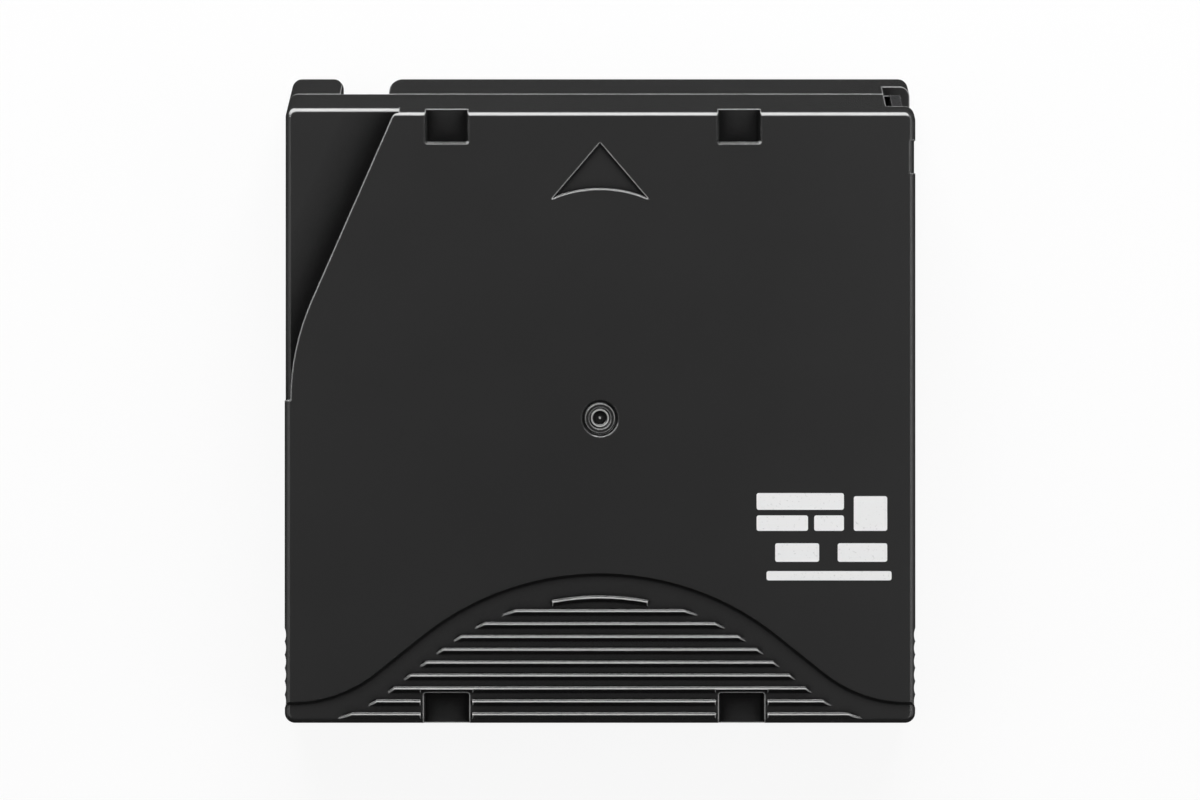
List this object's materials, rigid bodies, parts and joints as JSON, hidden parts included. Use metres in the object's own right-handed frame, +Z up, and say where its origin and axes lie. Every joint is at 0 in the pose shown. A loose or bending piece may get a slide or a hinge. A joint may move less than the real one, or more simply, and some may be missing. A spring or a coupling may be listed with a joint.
{
  "type": "data tape cartridge",
  "caption": "Flat black single-reel data tape cartridge with a sliding tape door, leader pin, sprung reel brake and write-protect slider.",
  "frame": {"origin": "centre of the cartridge's plan outline, on its bottom face", "axes": "+Z up through the top face, +Y towards the edge that enters the drive, +X towards the tape door side"},
  "size_m": [0.102, 0.1054, 0.0215],
  "materials": {
    "case_plastic": "fine satin texture, black",
    "screw_steel": "black-oxide steel",
    "spring_steel": "drawn spring steel",
    "pin_steel": "ground stainless steel",
    "clip_plastic": "moulded, dark grey",
    "tape_film": "smooth dark brown film",
    "board_laminate": "green laminate",
    "coil_copper": "bare copper",
    "chip_resin": "black resin",
    "hub_plastic": "natural off-white",
    "flange_plastic": "natural off-white",
    "plate_steel": "stamped magnetic stainless steel",
    "brake_plastic": "natural",
    "pad_plastic": "natural white",
    "door_plastic": "satin, dark grey",
    "slider_plastic": "satin, red-orange"
  },
  "bodies": {
    "case": {"top_shell": "case_plastic", "bottom_shell": "case_plastic", "case_screw_1": "screw_steel", "case_screw_2": "screw_steel", "case_screw_3": "screw_steel", "case_screw_4": "screw_steel", "brake_spring": "spring_steel", "door_spring": "spring_steel", "leader_pin": "pin_steel", "leader_clip": "clip_plastic", "leader_tape": "tape_film", "pin_retaining_spring": "spring_steel", "memory_board": "board_laminate", "memory_coil": "coil_copper", "memory_chip": "chip_resin"},
    "reel": {"reel_hub": "hub_plastic", "upper_flange": "flange_plastic", "drive_plate": "plate_steel", "tape_pack": "tape_film"},
    "brake": {"brake_button": "brake_plastic"},
    "release": {"release_pad": "pad_plastic"},
    "door": {"tape_door": "door_plastic"},
    "protect": {"write_protect_slider": "slider_plastic"}
  },
  "joints": [
    {"name": "reel_spin", "type": "hinge", "parent": "case", "child": "reel", "pos_m": [0, -0.0034, 0.004], "axis": [0, 0, 1], "continuous": true},
    {"name": "brake_lift", "type": "slide", "parent": "case", "child": "brake", "axis": [0, 0, 1], "range_m": [0, 0.0016], "stiffness_N_per_m": 900, "springref_m": -0.0012, "deforming": ["brake_spring"]},
    {"name": "release_pad_lift", "type": "slide", "parent": "reel", "child": "release", "axis": [0, 0, 1], "range_m": [0, 0.0016]},
    {"name": "door_slide", "type": "slide", "parent": "case", "child": "door", "axis": [0, -1, 0], "range_m": [0, 0.02], "stiffness_N_per_m": 12, "springref_m": -0.008, "deforming": ["door_spring"]},
    {"name": "write_protect_slide", "type": "slide", "parent": "case", "child": "protect", "axis": [1, 0, 0], "range_m": [0, 0.0053]}
  ],
  "couplings": [
    {"joint": "release_pad_lift", "follows": "brake_lift", "ratio": 1}
  ]
}
